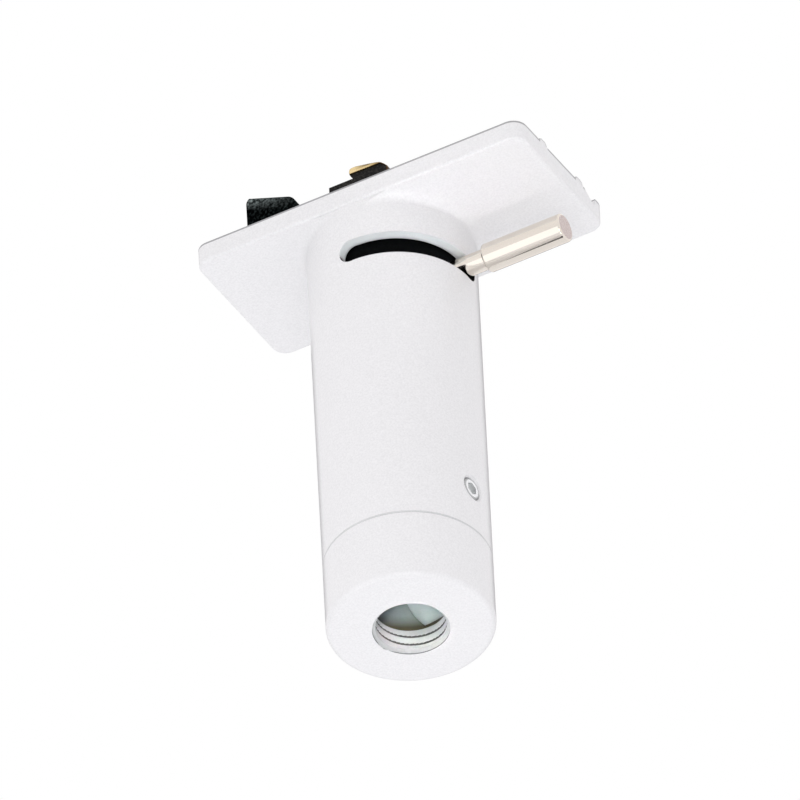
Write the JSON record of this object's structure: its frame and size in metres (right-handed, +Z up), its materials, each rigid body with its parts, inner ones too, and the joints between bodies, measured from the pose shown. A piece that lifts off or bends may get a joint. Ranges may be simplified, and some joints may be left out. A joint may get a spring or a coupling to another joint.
{
  "type": "track light adapter",
  "caption": "White lever-locked track adapter: a plate with a hanging tube, a polished side lever that turns the contacts into the track, and a threaded end for a lamp stem.",
  "frame": {"origin": "on the tube's axis, on the plate's top face, which seats against the track", "axes": "+Z up into the track, +X along the plate towards the lever, tube hanging along -Z"},
  "size_m": [0.0749, 0.0344, 0.1173],
  "materials": {
    "white_paint": "fine satin powder coat",
    "black_plastic": "moulded, fine grain",
    "cream_plastic": "moulded",
    "polished_nickel": "polished warm nickel",
    "bright_steel": "zinc plated",
    "brass": "rolled, bare",
    "bronze": "sintered"
  },
  "bodies": {
    "body": {"housing": "white_paint", "end_cap": "white_paint", "cap_grub_screw": "bright_steel", "track_insert": "black_plastic", "insert_screws": "bright_steel", "rotor_bush": "bronze", "wave_washer": "bright_steel", "bearing_plate": "bright_steel", "retaining_ring": "bright_steel", "terminal_block": "cream_plastic", "terminal_sleeves": "brass", "terminal_screws": "bright_steel", "block_screw": "bright_steel", "earth_tag": "brass", "earth_screw": "bright_steel", "earth_contact": "brass", "earth_rivets": "brass"},
    "lever": {"rotor": "black_plastic", "lever_stud": "polished_nickel", "lever_handle": "polished_nickel", "contact_head": "black_plastic", "head_screws": "bright_steel", "line_contact": "brass", "neutral_contact": "brass", "contact_rivets": "brass"}
  },
  "joints": [
    {"name": "lever_swing", "type": "hinge", "parent": "body", "child": "lever", "pos_m": [0, 0, 0], "axis": [0, 0, 1], "range_deg": [-90, 0]}
  ]
}
